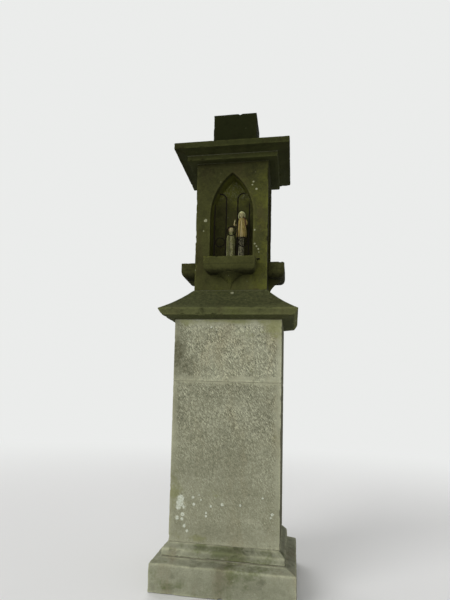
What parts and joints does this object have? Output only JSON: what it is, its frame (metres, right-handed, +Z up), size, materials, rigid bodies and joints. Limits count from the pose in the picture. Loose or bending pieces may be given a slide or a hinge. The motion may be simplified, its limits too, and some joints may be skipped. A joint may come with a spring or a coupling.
{
  "type": "wayside shrine",
  "caption": "Square sandstone pillar with a ledge, a grilled pointed niche with two figures, side consoles and a moulded cap.",
  "frame": {"origin": "centre of the foot on the ground", "axes": "+Z up, the front with the grilled niche looks towards -Y, +X to the right of someone who faces the front"},
  "size_m": [1.036, 1.036, 3.693],
  "materials": {
    "plinth_sandstone": "rough, mossy in front",
    "shaft_sandstone": "comb-tooled field inside smooth margins",
    "mossy_sandstone": "weathered, with algae",
    "block_sandstone": "weathered, with algae and pale lichen",
    "cap_sandstone": "weathered, with algae",
    "lime_mortar": "weathered",
    "wrought_iron": "rusted black",
    "lead": "dull grey",
    "figure_base_paint": "worn paint on plaster",
    "robe_paint": "worn paint on plaster",
    "mantle_paint": "worn paint on plaster",
    "skin_paint": "worn paint on plaster",
    "veil_paint": "worn paint on plaster",
    "small_robe_paint": "worn paint on plaster"
  },
  "bodies": {
    "root": {"plinth_lower_stone": "plinth_sandstone", "plinth_upper_stone": "plinth_sandstone", "shaft_lower_stone": "shaft_sandstone", "shaft_upper_stone": "shaft_sandstone", "ledge_stone": "mossy_sandstone", "niche_block": "block_sandstone", "front_console": "block_sandstone", "right_console": "block_sandstone", "back_console": "block_sandstone", "left_console": "block_sandstone", "necking_stone": "cap_sandstone", "cap_stone": "cap_sandstone", "cross_pedestal": "cap_sandstone", "plinth_mortar_bed": "lime_mortar", "shaft_foot_mortar_bed": "lime_mortar", "shaft_mortar_bed": "lime_mortar", "ledge_mortar_bed": "lime_mortar", "block_mortar_bed": "lime_mortar", "necking_mortar_bed": "lime_mortar", "cap_mortar_bed": "lime_mortar", "pedestal_mortar_bed": "lime_mortar", "grille_left_outer_bar": "wrought_iron", "grille_left_inner_bar": "wrought_iron", "grille_right_inner_bar": "wrought_iron", "grille_right_outer_bar": "wrought_iron", "grille_left_ring": "wrought_iron", "grille_middle_ring": "wrought_iron", "grille_right_ring": "wrought_iron", "grille_lead_sockets": "lead", "iron_holdfast": "wrought_iron", "tall_figure_base": "figure_base_paint", "tall_figure_robe": "robe_paint", "tall_figure_mantle": "mantle_paint", "tall_figure_head": "skin_paint", "tall_figure_veil": "veil_paint", "tall_figure_arm": "skin_paint", "small_figure_base": "figure_base_paint", "small_figure_robe": "small_robe_paint", "small_figure_head": "skin_paint"}
  },
  "joints": []
}
